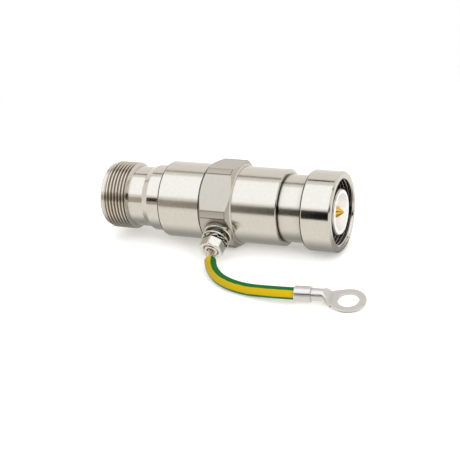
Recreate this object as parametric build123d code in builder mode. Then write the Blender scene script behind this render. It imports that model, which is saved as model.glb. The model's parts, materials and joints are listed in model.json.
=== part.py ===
from build123d import *
from math import cos, pi, radians, sin, tan
import os

os.makedirs("parts", exist_ok=True)

# Coax lightning arrestor with a threaded female port, a coupling-nut male port and a ground lead.
# The axis of the line is X and the male port faces +X. Z is up and the ground stud leans to -Y.
# The origin is on the axis, at the middle of the female port's thread. All sizes are millimetres.

# Fits
slip_gap = 0.05          # radial gap between turned pieces that slide together once
nut_running_gap = 0.06   # radial gap of the coupling nut on its journal
nut_end_gap = 0.25       # axial gap at each side of the coupling nut's lip

# Female port
pilot_radius = 13.6
pilot_length = 2.6
pilot_chamfer = 0.6
thread_step = 0.85         # the thread's crest stands this far outside the pilot
thread_length = 8.0
thread_pitch = 1.5
thread_grooves = 6          # the thread is drawn as level grooves with the pitch of the real one
thread_crest_width = 0.35
thread_root_width = 0.25
thread_depth = 0.8
thread_collar_length = 1.15
thread_runout = 1.35
female_neck_radius = 12.85
female_neck_length = 6.7
female_cone_length = 2.8
collar_radius = 14.05
collar_length = 6.1
port_bore_radius = 9.9
port_bore_depth = 8.5
port_chamfer = 0.4

# Coaxial line inside the body
line_bore_radius = 8.0
line_radius = 3.5
spigot_radius = 1.4
spigot_length = 4.0
spigot_play = 0.2

# Female socket and its insulator
socket_recess = 1.8
socket_length = 20.0
socket_bore_radius = 2.55
socket_bore_depth = 9.0
socket_slot_length = 7.6
socket_slot_width = 0.6
socket_slots = 4
socket_chamfer = 0.4
bead_setback = 2.0
bead_length = 6.0
bead_groove_depth = 0.6

# Sleeve, hexagonal body and its tube
sleeve_wall = 2.1
sleeve_length = 19.25
sleeve_edge_length = 0.7   # long and shallow chamfer at the sleeve's open end
sleeve_edge_depth = 0.3
body_spigot_length = 7.6
spigot_end_gap = 0.35      # between the female shell's tail and the body's spigot
hex_flat_step = 0.85       # each flat stands this far outside the sleeve
hex_corner_step = 1.95     # the turned corners stand this far outside the flats
hex_end_step = 0.15
hex_length = 14.7
hex_chamfer_length = 2.0
joint_groove_width = 0.4   # undercut of the hexagon where the sleeve butts against it
joint_groove_depth = 0.8
body_tube_length = 19.55
body_tube_chamfer = 0.3
male_tail_length = 10.0
male_tail_radius = 12.0

# O-ring grooves cut into the spigots
ring_section = 0.75
ring_play = 0.06
groove_setback = 3.2

# Male port
male_neck_radius = 14.15
male_neck_length = 10.2
journal_length = 4.6
contact_radius = 9.65
contact_length = 7.8
contact_wall = 0.95
contact_foot_length = 1.7
contact_foot_step = 0.2
snap_groove_depth = 0.75
snap_width = 0.9
snap_height = 1.85
gasket_width = 1.3
gasket_thickness = 1.5
gasket_margin = 0.3

# Male pin and its insulator
pin_radius = 2.5
pin_tip_radius = 0.5
pin_cone_length = 2.2
pin_reach = 1.2
pin_shoulder_depth = 0.1
pin_root_length = 11.0
cup_setback = 0.6
cup_root_length = 6.0
cup_mouth_radius = 7.2
cup_floor_radius = 6.4
cup_depth = 5.0

# Coupling nut
nut_radius = 16.8
nut_length = 13.3
nut_lip_length = 2.2
nut_wall = 3.1             # from the core of its thread to its outside
nut_relief_depth = 0.9
nut_relief_length = 3.0
nut_mouth_depth = 0.7
nut_mouth_length = 1.2
nut_front_chamfer = 0.7
nut_back_chamfer = 0.4
nut_back_chamfer_length = 0.8

# Gas tube, its cap and the ground stud, all along the stud from the axis of the line
stud_turn = 64.0
stud_shift = 1.05
line_flat_height = 3.1
line_flat_length = 9.0
tube_radius = 4.0
electrode_thickness = 1.0
electrode_stub_radius = 1.5
ceramic_length = 4.0
ceramic_wall = 1.1
spring_height = 0.9
spring_thickness = 0.4
spring_hole_radius = 1.6
cap_plug_radius = 5.0
cap_rim = 0.35
cap_flange_thickness = 3.2
cap_chamfer = 0.5
cap_boss_wall = 1.2
cap_boss_height = 1.3
cap_seal_width = 0.75
cap_seal_depth = 0.85
cap_seal_section = 0.35
stud_radius = 3.0
stud_depth = 7.0
stud_length = 14.0
stud_hollow_play = 0.13
stud_hollow_depth = 6.5
stud_play = 0.4
stud_chamfer = 0.4

# Washers and ground nut
washer_radius = 6.0
washer_play = 0.2
washer_thickness = 0.8
lock_washer_radius = 5.6
lock_ring_width = 1.1
lock_play = 0.055
lock_sheet = 0.6
lock_teeth = 10
lock_tooth_width = 1.7
lock_tooth_twist = 20.0
ground_nut_wall = 2.0
ground_nut_height = 4.8
ground_nut_corner_step = 0.6
ground_nut_chamfer = 0.8
ground_nut_sink = 0.5

# Ground wire
core_radius = 1.62
insulation_wall = 0.78
core_gap = 0.03
wire_start_depth = 2.9
wire_first_bend = 2.1
wire_before_lug = 1.0
wire_in_crimp = 2.1
bend_share = 0.45

# Ring lug on the wire's far end
lug_start_forward = 47.05   # from the wire's first bend to where it enters the lug's barrel
lug_start_aside = 26.1
lug_start_lift = 4.0        # height of the barrel's axis above the surface that the arrestor rests on
lug_heading = 6.8
lug_tilt = 14.0
grip_length = 7.2
grip_wall = 0.6
grip_gap = 0.12
grip_end_play = 0.3
crimp_length = 4.15
crimp_wall = 0.8
crimp_gap = 0.08
lug_seam_width = 0.3
lug_seam_angle = 36.0
lug_sheet = 1.0
lug_flare_length = 3.4
flare_radius = 4.9
flare_ear_height = 3.7      # of the ear that the barrel's sheet forms as it opens into the tongue
flare_open_length = 1.2     # the other side opens flat within this length
tongue_near_width = 1.6
tongue_far_width = 5.0
lug_reach = 21.2
lug_ring_width = 2.7
lug_hole_radius = 4.1

# Sizes that follow from others
thread_radius = pilot_radius + thread_step
shell_tail_length = sleeve_length - body_spigot_length - spigot_end_gap
sleeve_radius = collar_radius + sleeve_wall
flat_height = sleeve_radius + hex_flat_step
hex_across_flats = 2 * flat_height
hex_corner_radius = flat_height + hex_corner_step
hex_end_radius = sleeve_radius + hex_end_step
contact_foot_radius = contact_radius + contact_foot_step
gasket_radius = contact_foot_radius + slip_gap + gasket_width
journal_radius = gasket_radius + gasket_margin
nut_thread_radius = nut_radius - nut_wall
nut_relief_radius = nut_thread_radius + nut_relief_depth
nut_mouth_radius = nut_thread_radius + nut_mouth_depth
cap_seal_radius = cap_plug_radius + cap_seal_width
cap_flange_radius = cap_seal_radius + cap_rim
cap_boss_radius = stud_radius + cap_boss_wall
washer_bore_radius = stud_radius + washer_play
lock_ring_radius = washer_bore_radius + lock_ring_width
lock_turn = radians(lock_tooth_twist)
lock_height = lock_tooth_width * sin(lock_turn) + lock_sheet * cos(lock_turn) + lock_play
ground_nut_flats = 2 * (stud_radius + ground_nut_wall)
ground_nut_corner_radius = ground_nut_flats / 2 + ground_nut_corner_step
wire_radius = core_radius + insulation_wall
stud_hollow_radius = core_radius + stud_hollow_play
wire_in_lug = grip_length + wire_in_crimp
crimp_bore_radius = core_radius + crimp_gap
crimp_radius = crimp_bore_radius + crimp_wall
lug_ring_radius = lug_hole_radius + lug_ring_width

# Places along the axis that follow from the sizes
face_x = -(pilot_length + thread_length / 2)
thread_start = face_x + pilot_length
thread_end = thread_start + thread_length
thread_collar_end = thread_end + thread_collar_length
female_neck_start = thread_collar_end + thread_runout
female_neck_end = female_neck_start + female_neck_length
collar_start = female_neck_end + female_cone_length
sleeve_start = collar_start + collar_length
hex_start = sleeve_start + sleeve_length
hex_end = hex_start + hex_length
hex_middle = (hex_start + hex_end) / 2
body_end = hex_end + body_tube_length
male_neck_end = body_end + male_neck_length
journal_end = male_neck_end + journal_length
contact_end = journal_end + contact_length
nut_start = male_neck_end + nut_end_gap
nut_end = male_neck_end + nut_length
shell_tail_end = sleeve_start + shell_tail_length
body_spigot_start = hex_start - body_spigot_length
male_tail_start = body_end - male_tail_length
socket_start = face_x + socket_recess
socket_end = socket_start + socket_length
pin_tip = contact_end + pin_reach
cup_end = contact_end - cup_setback
cup_floor = cup_end - cup_depth
pin_shoulder = cup_floor - pin_shoulder_depth
pin_start = pin_shoulder - pin_root_length

# Places along the ground stud that follow from the sizes
electrode_top = line_flat_height + electrode_thickness
ceramic_top = electrode_top + ceramic_length
tube_top = ceramic_top + electrode_thickness
plug_bottom = tube_top + spring_height
flange_top = flat_height + cap_flange_thickness
boss_top = flange_top + cap_boss_height
lock_seat = boss_top + washer_thickness
ground_nut_seat = lock_seat + lock_height
ground_nut_end = ground_nut_seat + ground_nut_height
stud_bottom = boss_top - stud_depth
stud_end = stud_bottom + stud_length

# Planes and axes
stud_direction = Vector(0, -sin(radians(stud_turn)), -cos(radians(stud_turn)))
stud_foot = Vector(hex_middle + stud_shift, 0, 0)
stud_axis = Axis(stud_foot, stud_direction)
stud_plane = Plane(origin=stud_foot, x_dir=(1, 0, 0), z_dir=stud_direction)
stud_half_plane = Plane(origin=stud_foot, x_dir=stud_direction, z_dir=stud_direction.cross(Vector(1, 0, 0)))
hex_plane = Plane(origin=(hex_start, 0, 0), x_dir=stud_direction, z_dir=(1, 0, 0))
on_base = (Align.CENTER, Align.CENTER, Align.MIN)

# The arrestor lies on the flat of its hexagon that is nearest to straight down, tipped onto one corner
rest_tilt = radians(stud_turn - 60)
half_flat = (hex_corner_radius**2 - flat_height**2) ** 0.5
floor_height = -(flat_height * cos(rest_tilt) + half_flat * sin(rest_tilt))

# First two points of the ground wire, out of the stud, and where it enters its lug
wire_start = stud_foot + stud_direction * (stud_end - wire_start_depth)
wire_bend = stud_foot + stud_direction * (stud_end + wire_first_bend)
lug_start = Vector(wire_bend.X + lug_start_forward, wire_bend.Y - lug_start_aside, floor_height + lug_start_lift)


def half_section(*points, plane=Plane.XZ):
    """Closed outline of (place along the axis, radius) points, ready to be revolved."""
    with BuildSketch(plane) as section:
        with BuildLine():
            Polyline(*points, close=True)
        make_face()
    return section.sketch


def ring_section_at(place, radius, section_radius, plane=Plane.XZ):
    """Round section of a seal ring, ready to be revolved."""
    with BuildSketch(plane) as section:
        with Locations((place, radius)):
            Circle(section_radius)
    return section.sketch


def save(piece, name):
    """Label a finished piece and write it under its own name."""
    piece.part.label = name
    export_step(piece.part, f"parts/{name}.step")


# Seal rings sit in grooves that are a ring deep and slightly wider
groove_depth = 2 * ring_section + ring_play - slip_gap
groove_width = 2 * ring_section + 2 * ring_play
shell_groove = shell_tail_end - groove_setback
body_groove = body_spigot_start + groove_setback
male_groove = male_tail_start + groove_setback


def ring_groove(middle, outer_radius):
    """Outline of a groove in a spigot, to be revolved and cut away."""
    left = middle - groove_width / 2
    right = middle + groove_width / 2
    floor = outer_radius - groove_depth
    return half_section((left, floor), (right, floor), (right, outer_radius + 1), (left, outer_radius + 1))


# Female shell: pilot, thread, neck, cone, collar and the tail that goes into the sleeve
bead_start = face_x + port_bore_depth + bead_setback
bead_end = bead_start + bead_length
bead_groove_radius = line_bore_radius + bead_groove_depth
tail_radius = collar_radius - slip_gap
thread_middle = (thread_start + thread_end) / 2
with BuildPart() as female_shell:
    revolve(
        half_section(
            (face_x, port_bore_radius + port_chamfer),
            (face_x, pilot_radius - pilot_chamfer),
            (face_x + pilot_chamfer, pilot_radius),
            (thread_start, pilot_radius),
            (thread_start + thread_radius - pilot_radius, thread_radius),
            (thread_collar_end, thread_radius),
            (female_neck_start, female_neck_radius),
            (female_neck_end, female_neck_radius),
            (collar_start, collar_radius),
            (sleeve_start, collar_radius),
            (sleeve_start, tail_radius),
            (shell_tail_end, tail_radius),
            (shell_tail_end, line_bore_radius),
            (bead_end, line_bore_radius),
            (bead_end, bead_groove_radius),
            (bead_start, bead_groove_radius),
            (bead_start, line_bore_radius),
            (face_x + port_bore_depth, line_bore_radius),
            (face_x + port_bore_depth, port_bore_radius),
            (face_x + port_chamfer, port_bore_radius),
        ),
        axis=Axis.X,
    )
    revolve(ring_groove(shell_groove, tail_radius), axis=Axis.X, mode=Mode.SUBTRACT)
    for groove in range(thread_grooves):
        root = thread_middle + (groove - (thread_grooves - 1) / 2) * thread_pitch
        revolve(
            half_section(
                (root - thread_root_width / 2, thread_radius - thread_depth),
                (root + thread_root_width / 2, thread_radius - thread_depth),
                (root + (thread_pitch - thread_crest_width) / 2, thread_radius),
                (root + (thread_pitch - thread_crest_width) / 2, thread_radius + thread_depth),
                (root - (thread_pitch - thread_crest_width) / 2, thread_radius + thread_depth),
                (root - (thread_pitch - thread_crest_width) / 2, thread_radius),
            ),
            axis=Axis.X,
            mode=Mode.SUBTRACT,
        )
save(female_shell, "female_shell")

# Insulating bead that snaps into the groove behind the female port
with BuildPart() as female_insulator:
    revolve(
        half_section(
            (bead_start + slip_gap, line_radius),
            (bead_start + slip_gap, bead_groove_radius - slip_gap),
            (bead_end - slip_gap, bead_groove_radius - slip_gap),
            (bead_end - slip_gap, line_radius),
        ),
        axis=Axis.X,
    )
save(female_insulator, "female_insulator")

# Slotted socket of the female port
with BuildPart() as female_socket:
    revolve(
        half_section(
            (socket_start, socket_bore_radius + socket_chamfer / 2),
            (socket_start, line_radius - socket_chamfer),
            (socket_start + socket_chamfer, line_radius),
            (socket_end, line_radius),
            (socket_end, spigot_radius + slip_gap),
            (socket_end - spigot_length - spigot_play, spigot_radius + slip_gap),
            (socket_end - spigot_length - spigot_play, 0),
            (socket_start + socket_bore_depth, 0),
            (socket_start + socket_bore_depth, socket_bore_radius),
            (socket_start + socket_chamfer / 2, socket_bore_radius),
        ),
        axis=Axis.X,
    )
    for slot in range(socket_slots // 2):
        with BuildSketch(Plane.XY.rotated((45 + slot * 90, 0, 0))):
            with Locations((socket_start, 0)):
                Rectangle(2 * socket_slot_length, socket_slot_width)
        extrude(amount=2 * line_radius, both=True, mode=Mode.SUBTRACT)
save(female_socket, "female_socket")

# Plain sleeve between the female shell and the hexagonal body
with BuildPart() as sleeve:
    revolve(
        half_section(
            (sleeve_start, collar_radius),
            (sleeve_start, sleeve_radius - sleeve_edge_depth),
            (sleeve_start + sleeve_edge_length, sleeve_radius),
            (hex_start, sleeve_radius),
            (hex_start, collar_radius),
        ),
        axis=Axis.X,
    )
save(sleeve, "sleeve")

# Hexagonal body with turned corners, its spigot, its tube and the bore for the gas tube
seal_seat_end = flat_height - cap_seal_depth
with BuildPart() as main_body:
    with BuildSketch(hex_plane):
        RegularPolygon(hex_across_flats / 2, 6, major_radius=False, rotation=30)
    extrude(amount=hex_length)
    revolve(
        half_section(
            (hex_start, 0),
            (hex_start, hex_end_radius),
            (hex_start + hex_chamfer_length, hex_corner_radius),
            (hex_end - hex_chamfer_length, hex_corner_radius),
            (hex_end, hex_end_radius),
            (hex_end, 0),
        ),
        axis=Axis.X,
        mode=Mode.INTERSECT,
    )
    revolve(
        half_section(
            (body_spigot_start, 0),
            (body_spigot_start, tail_radius),
            (hex_start, tail_radius),
            (hex_end, sleeve_radius),
            (body_end - body_tube_chamfer, sleeve_radius),
            (body_end, sleeve_radius - body_tube_chamfer),
            (body_end, 0),
        ),
        axis=Axis.X,
    )
    revolve(
        half_section(
            (body_spigot_start, 0),
            (body_spigot_start, line_bore_radius),
            (male_tail_start, line_bore_radius),
            (male_tail_start, male_tail_radius),
            (body_end, male_tail_radius),
            (body_end, 0),
        ),
        axis=Axis.X,
        mode=Mode.SUBTRACT,
    )
    revolve(ring_groove(body_groove, tail_radius), axis=Axis.X, mode=Mode.SUBTRACT)
    revolve(
        half_section(
            (hex_start, sleeve_radius - joint_groove_depth),
            (hex_start, hex_corner_radius),
            (hex_start + joint_groove_width, hex_corner_radius),
            (hex_start + joint_groove_width, sleeve_radius - joint_groove_depth),
        ),
        axis=Axis.X,
        mode=Mode.SUBTRACT,
    )
    with BuildSketch(stud_plane):
        Circle(cap_plug_radius)
    extrude(amount=flat_height, mode=Mode.SUBTRACT)
    with BuildSketch(stud_plane.offset(seal_seat_end)):
        Circle(cap_seal_radius)
    extrude(amount=cap_seal_depth, mode=Mode.SUBTRACT)
save(main_body, "main_body")

# Seal rings in the three spigot grooves
ring_gap = ring_play / 2 + ring_section
with BuildPart() as front_o_ring:
    revolve(ring_section_at(shell_groove, collar_radius - ring_gap, ring_section), axis=Axis.X)
save(front_o_ring, "front_o_ring")

with BuildPart() as rear_o_ring:
    revolve(ring_section_at(body_groove, collar_radius - ring_gap, ring_section), axis=Axis.X)
save(rear_o_ring, "rear_o_ring")

with BuildPart() as male_o_ring:
    revolve(ring_section_at(male_groove, male_tail_radius - ring_gap, ring_section), axis=Axis.X)
save(male_o_ring, "male_o_ring")

# Centre line, with a spigot at each end and a flat under the gas tube
with BuildPart() as centre_line:
    revolve(
        half_section(
            (socket_end - spigot_length, 0),
            (socket_end - spigot_length, spigot_radius),
            (socket_end, spigot_radius),
            (socket_end, line_radius),
            (pin_start, line_radius),
            (pin_start, spigot_radius),
            (pin_start + spigot_length, spigot_radius),
            (pin_start + spigot_length, 0),
        ),
        axis=Axis.X,
    )
    with BuildSketch(stud_plane.offset(line_flat_height)):
        Rectangle(line_flat_length, 2 * line_radius)
    extrude(amount=line_radius, mode=Mode.SUBTRACT)
save(centre_line, "centre_line")

# Male shell: tail in the body tube, neck, journal for the nut and the outer contact tube
male_spigot_radius = male_tail_radius - slip_gap
cup_radius = contact_radius - contact_wall
snap_start = nut_start + nut_lip_length + nut_end_gap
contact_foot_end = journal_end + contact_foot_length
with BuildPart() as male_shell:
    revolve(
        half_section(
            (male_tail_start, line_bore_radius),
            (male_tail_start, male_spigot_radius),
            (body_end, male_spigot_radius),
            (body_end, male_neck_radius - body_tube_chamfer),
            (body_end + body_tube_chamfer, male_neck_radius),
            (male_neck_end, male_neck_radius),
            (male_neck_end, journal_radius),
            (journal_end, journal_radius),
            (journal_end, contact_foot_radius),
            (contact_foot_end, contact_foot_radius),
            (contact_foot_end, contact_radius),
            (contact_end - port_chamfer, contact_radius),
            (contact_end, contact_radius - port_chamfer),
            (contact_end, cup_radius),
            (journal_end, cup_radius),
            (journal_end, line_bore_radius),
        ),
        axis=Axis.X,
    )
    revolve(ring_groove(male_groove, male_spigot_radius), axis=Axis.X, mode=Mode.SUBTRACT)
    revolve(
        half_section(
            (snap_start, journal_radius - snap_groove_depth),
            (snap_start, journal_radius + 1),
            (snap_start + snap_width, journal_radius + 1),
            (snap_start + snap_width, journal_radius - snap_groove_depth),
        ),
        axis=Axis.X,
        mode=Mode.SUBTRACT,
    )
save(male_shell, "male_shell")

# Insulating cup inside the outer contact tube, with the tapered recess around the pin
cup_start = journal_end - cup_root_length
with BuildPart() as male_insulator:
    revolve(
        half_section(
            (cup_start, line_radius + slip_gap),
            (cup_start, line_bore_radius - slip_gap),
            (journal_end, line_bore_radius - slip_gap),
            (journal_end, cup_radius - slip_gap),
            (cup_end, cup_radius - slip_gap),
            (cup_end, cup_mouth_radius),
            (cup_floor, cup_floor_radius),
            (cup_floor, line_radius + slip_gap),
        ),
        axis=Axis.X,
    )
save(male_insulator, "male_insulator")

# Male pin with its conical tip and the thicker root that screws onto the centre line
with BuildPart() as male_pin:
    revolve(
        half_section(
            (pin_start, spigot_radius + slip_gap),
            (pin_start, line_radius),
            (pin_shoulder, line_radius),
            (pin_shoulder, pin_radius),
            (pin_tip - pin_cone_length, pin_radius),
            (pin_tip, pin_tip_radius),
            (pin_tip, 0),
            (pin_start + spigot_length + spigot_play, 0),
            (pin_start + spigot_length + spigot_play, spigot_radius + slip_gap),
        ),
        axis=Axis.X,
    )
save(male_pin, "male_pin")

# Coupling nut that turns on the journal behind the snap ring
lip_radius = journal_radius + nut_running_gap
relief_start = nut_start + nut_lip_length
nut_thread_start = relief_start + nut_relief_length
with BuildPart() as coupling_nut:
    revolve(
        half_section(
            (nut_start, lip_radius),
            (nut_start, nut_radius - nut_back_chamfer),
            (nut_start + nut_back_chamfer_length, nut_radius),
            (nut_end - nut_front_chamfer, nut_radius),
            (nut_end, nut_radius - nut_front_chamfer),
            (nut_end, nut_mouth_radius),
            (nut_end - nut_mouth_length, nut_thread_radius),
            (nut_thread_start, nut_thread_radius),
            (nut_thread_start - nut_relief_radius + nut_thread_radius, nut_relief_radius),
            (relief_start, nut_relief_radius),
            (relief_start, lip_radius),
        ),
        axis=Axis.X,
    )
save(coupling_nut, "coupling_nut")

# Snap ring, split where its ends meet, that holds the coupling nut on the journal
snap_bottom = journal_radius - snap_groove_depth
snap_slack = slip_gap
with BuildPart() as snap_ring:
    revolve(
        half_section(
            (snap_start + snap_slack, snap_bottom + slip_gap),
            (snap_start + snap_slack, snap_bottom + snap_height),
            (snap_start + snap_width - snap_slack, snap_bottom + snap_height),
            (snap_start + snap_width - snap_slack, snap_bottom + slip_gap),
        ),
        axis=Axis.X,
    )
    with BuildSketch(Plane.XY):
        with Locations((snap_start, 0)):
            Rectangle(4 * snap_width, 2 * snap_width)
    extrude(amount=journal_radius + 2 * snap_height, mode=Mode.SUBTRACT)
save(snap_ring, "snap_ring")

# Rubber face gasket at the foot of the contact tube
with BuildPart() as face_gasket:
    revolve(
        half_section(
            (journal_end, contact_foot_radius + slip_gap),
            (journal_end, gasket_radius),
            (journal_end + gasket_thickness, gasket_radius),
            (journal_end + gasket_thickness, contact_foot_radius + slip_gap),
        ),
        axis=Axis.X,
    )
save(face_gasket, "face_gasket")

# Gas discharge tube: an electrode at each end of a ceramic ring
with BuildPart() as gas_tube_inner_electrode:
    revolve(
        half_section(
            (line_flat_height, 0),
            (line_flat_height, tube_radius),
            (electrode_top, tube_radius),
            (electrode_top, electrode_stub_radius),
            (electrode_top + electrode_thickness, electrode_stub_radius),
            (electrode_top + electrode_thickness, 0),
            plane=stud_half_plane,
        ),
        axis=stud_axis,
    )
save(gas_tube_inner_electrode, "gas_tube_inner_electrode")

with BuildPart() as gas_tube_ceramic:
    revolve(
        half_section(
            (electrode_top, tube_radius - ceramic_wall),
            (electrode_top, tube_radius),
            (ceramic_top, tube_radius),
            (ceramic_top, tube_radius - ceramic_wall),
            plane=stud_half_plane,
        ),
        axis=stud_axis,
    )
save(gas_tube_ceramic, "gas_tube_ceramic")

with BuildPart() as gas_tube_outer_electrode:
    revolve(
        half_section(
            (ceramic_top - electrode_thickness, 0),
            (ceramic_top - electrode_thickness, electrode_stub_radius),
            (ceramic_top, electrode_stub_radius),
            (ceramic_top, tube_radius),
            (tube_top, tube_radius),
            (tube_top, 0),
            plane=stud_half_plane,
        ),
        axis=stud_axis,
    )
save(gas_tube_outer_electrode, "gas_tube_outer_electrode")

# Coned disc spring that presses the gas tube against the line
spring_radius = cap_plug_radius - 4 * slip_gap
with BuildPart() as contact_spring:
    revolve(
        half_section(
            (tube_top, spring_hole_radius),
            (tube_top + spring_thickness, spring_hole_radius),
            (plug_bottom, spring_radius),
            (plug_bottom - spring_thickness, spring_radius),
            plane=stud_half_plane,
        ),
        axis=stud_axis,
    )
save(contact_spring, "contact_spring")

# Screwed cap over the gas tube, with a bored boss for the ground stud
plug_radius = cap_plug_radius - slip_gap
stud_hole_radius = stud_radius + slip_gap
with BuildPart() as gas_tube_cap:
    revolve(
        half_section(
            (plug_bottom, 0),
            (plug_bottom, plug_radius),
            (flat_height, plug_radius),
            (flat_height, cap_flange_radius),
            (flange_top - cap_chamfer, cap_flange_radius),
            (flange_top, cap_flange_radius - cap_chamfer),
            (flange_top, cap_boss_radius),
            (boss_top, cap_boss_radius),
            (boss_top, stud_hole_radius),
            (stud_bottom - stud_play, stud_hole_radius),
            (stud_bottom - stud_play, 0),
            plane=stud_half_plane,
        ),
        axis=stud_axis,
    )
save(gas_tube_cap, "gas_tube_cap")

# Seal under the cap's flange, in the counterbore of the hexagon's flat
seal_middle = flat_height - cap_seal_depth / 2
seal_radius = (plug_radius + cap_seal_radius) / 2
with BuildPart() as cap_o_ring:
    revolve(ring_section_at(seal_middle, seal_radius, cap_seal_section, plane=stud_half_plane), axis=stud_axis)
save(cap_o_ring, "cap_o_ring")

# Ground stud, bored at its end for the bared wire
with BuildPart(stud_plane.offset(stud_bottom)) as ground_stud:
    Cylinder(stud_radius, stud_length, align=on_base)
    chamfer(ground_stud.edges().filter_by(GeomType.CIRCLE), length=stud_chamfer)
    with Locations((0, 0, stud_length - stud_hollow_depth)):
        Cylinder(stud_hollow_radius, stud_hollow_depth, align=on_base, mode=Mode.SUBTRACT)
save(ground_stud, "ground_stud")

# Plain washer against the cap's boss
with BuildPart(stud_plane.offset(boss_top)) as plain_washer:
    Cylinder(washer_radius, washer_thickness, align=on_base)
    Cylinder(washer_bore_radius, washer_thickness, align=on_base, mode=Mode.SUBTRACT)
save(plain_washer, "plain_washer")

# Lock washer: a flat ring whose outer teeth are each twisted about their own radius
tooth_length = lock_washer_radius - lock_ring_radius + lock_sheet
with BuildPart(stud_plane.offset(lock_seat + lock_height / 2)) as lock_washer:
    Cylinder(lock_ring_radius, lock_sheet)
    with PolarLocations(lock_washer_radius - tooth_length / 2, lock_teeth):
        Box(tooth_length, lock_tooth_width, lock_sheet, rotation=(lock_tooth_twist, 0, 0))
    Cylinder(washer_bore_radius, 2 * lock_height, mode=Mode.SUBTRACT)
save(lock_washer, "lock_washer")

# Ground nut with chamfered corners and a countersunk hole, a corner straight down
nut_corner_drop = ground_nut_chamfer / 2
with BuildPart(stud_plane.offset(ground_nut_seat)) as ground_nut:
    with BuildSketch(stud_plane.offset(ground_nut_seat)):
        RegularPolygon(ground_nut_flats / 2, 6, major_radius=False, rotation=30)
    extrude(amount=ground_nut_height)
    revolve(
        half_section(
            (ground_nut_seat, stud_hole_radius),
            (ground_nut_seat, ground_nut_corner_radius - ground_nut_chamfer),
            (ground_nut_seat + nut_corner_drop, ground_nut_corner_radius),
            (ground_nut_end - nut_corner_drop, ground_nut_corner_radius),
            (ground_nut_end, ground_nut_corner_radius - ground_nut_chamfer),
            (ground_nut_end, stud_hole_radius + ground_nut_sink),
            (ground_nut_end - ground_nut_sink, stud_hole_radius),
            plane=stud_half_plane,
        ),
        axis=stud_axis,
        mode=Mode.INTERSECT,
    )
save(ground_nut, "ground_nut")

# Ring lug in its own frame: x runs along the barrel and z is the normal of the ring
lug_forward = Vector(cos(radians(lug_heading)), sin(radians(lug_heading)), 0)
lug_side = Vector(sin(radians(lug_heading)), -cos(radians(lug_heading)), 0)
lug_normal = Vector(0, 0, 1) * cos(radians(lug_tilt)) + lug_side * sin(radians(lug_tilt))
lug_plane = Plane(origin=lug_start, x_dir=lug_forward, z_dir=lug_normal)
lug_side_plane = Plane(origin=lug_start, x_dir=lug_forward, z_dir=-lug_plane.y_dir)
barrel_plane = Plane(origin=lug_start, x_dir=lug_plane.y_dir, z_dir=lug_forward)
seam_direction = lug_normal * sin(radians(lug_seam_angle)) - lug_plane.y_dir * cos(radians(lug_seam_angle))
seam_plane = Plane(origin=lug_start, x_dir=lug_forward, z_dir=seam_direction)
barrel_length = grip_length + crimp_length
flare_end = barrel_length + lug_flare_length
tongue_start = flare_end - lug_sheet
tongue_top = lug_sheet - crimp_radius
grip_bore_radius = wire_radius + grip_gap
grip_radius = grip_bore_radius + grip_wall
with BuildPart() as ring_lug:
    with BuildSketch(barrel_plane):
        Circle(grip_radius)
        Circle(grip_bore_radius, mode=Mode.SUBTRACT)
    extrude(amount=grip_length)
    with BuildSketch(barrel_plane.offset(grip_length - grip_wall)):
        Circle(grip_radius)
        Circle(crimp_bore_radius, mode=Mode.SUBTRACT)
    extrude(amount=grip_wall)
    with BuildSketch(barrel_plane.offset(grip_length)):
        Circle(crimp_radius)
        Circle(crimp_bore_radius, mode=Mode.SUBTRACT)
    extrude(amount=crimp_length)
    with BuildSketch(seam_plane):
        with Locations((barrel_length / 2, 0)):
            Rectangle(barrel_length, lug_seam_width)
    extrude(amount=2 * grip_radius, mode=Mode.SUBTRACT)
    with BuildSketch(barrel_plane.offset(barrel_length)):
        Circle(crimp_radius)
    with BuildSketch(barrel_plane.offset(flare_end)):
        with Locations((0, flare_radius - crimp_radius)):
            Circle(flare_radius)
    loft()
    with BuildSketch(barrel_plane.offset(barrel_length)):
        Circle(crimp_bore_radius)
    with BuildSketch(barrel_plane.offset(flare_end)):
        with Locations((0, flare_radius - crimp_radius)):
            Circle(flare_radius - crimp_wall)
    loft(mode=Mode.SUBTRACT)
    with BuildSketch(lug_side_plane):
        with BuildLine():
            Polyline(
                (barrel_length, 0),
                (barrel_length + flare_open_length, tongue_top),
                (flare_end, tongue_top),
                (flare_end, 2 * flare_radius),
                (barrel_length, 2 * flare_radius),
                close=True,
            )
        make_face()
    extrude(amount=2 * flare_radius, mode=Mode.SUBTRACT)
    with BuildSketch(lug_side_plane):
        with BuildLine():
            EllipticalCenterArc((barrel_length, tongue_top), lug_flare_length, flare_ear_height, arc_size=90)
            Polyline(
                (barrel_length, tongue_top + flare_ear_height),
                (barrel_length, 2 * flare_radius),
                (flare_end, 2 * flare_radius),
                (flare_end, tongue_top),
            )
        make_face()
    extrude(amount=-2 * flare_radius, mode=Mode.SUBTRACT)
    with BuildSketch(lug_plane.offset(-crimp_radius)):
        with BuildLine():
            Line((barrel_length, -tongue_near_width), (tongue_start, tongue_far_width))
            CenterArc((lug_reach, 0), lug_ring_radius, 0, 360)
        make_hull()
        with Locations((lug_reach, 0)):
            Circle(lug_hole_radius, mode=Mode.SUBTRACT)
    extrude(amount=lug_sheet)
save(ring_lug, "ring_lug")

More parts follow.
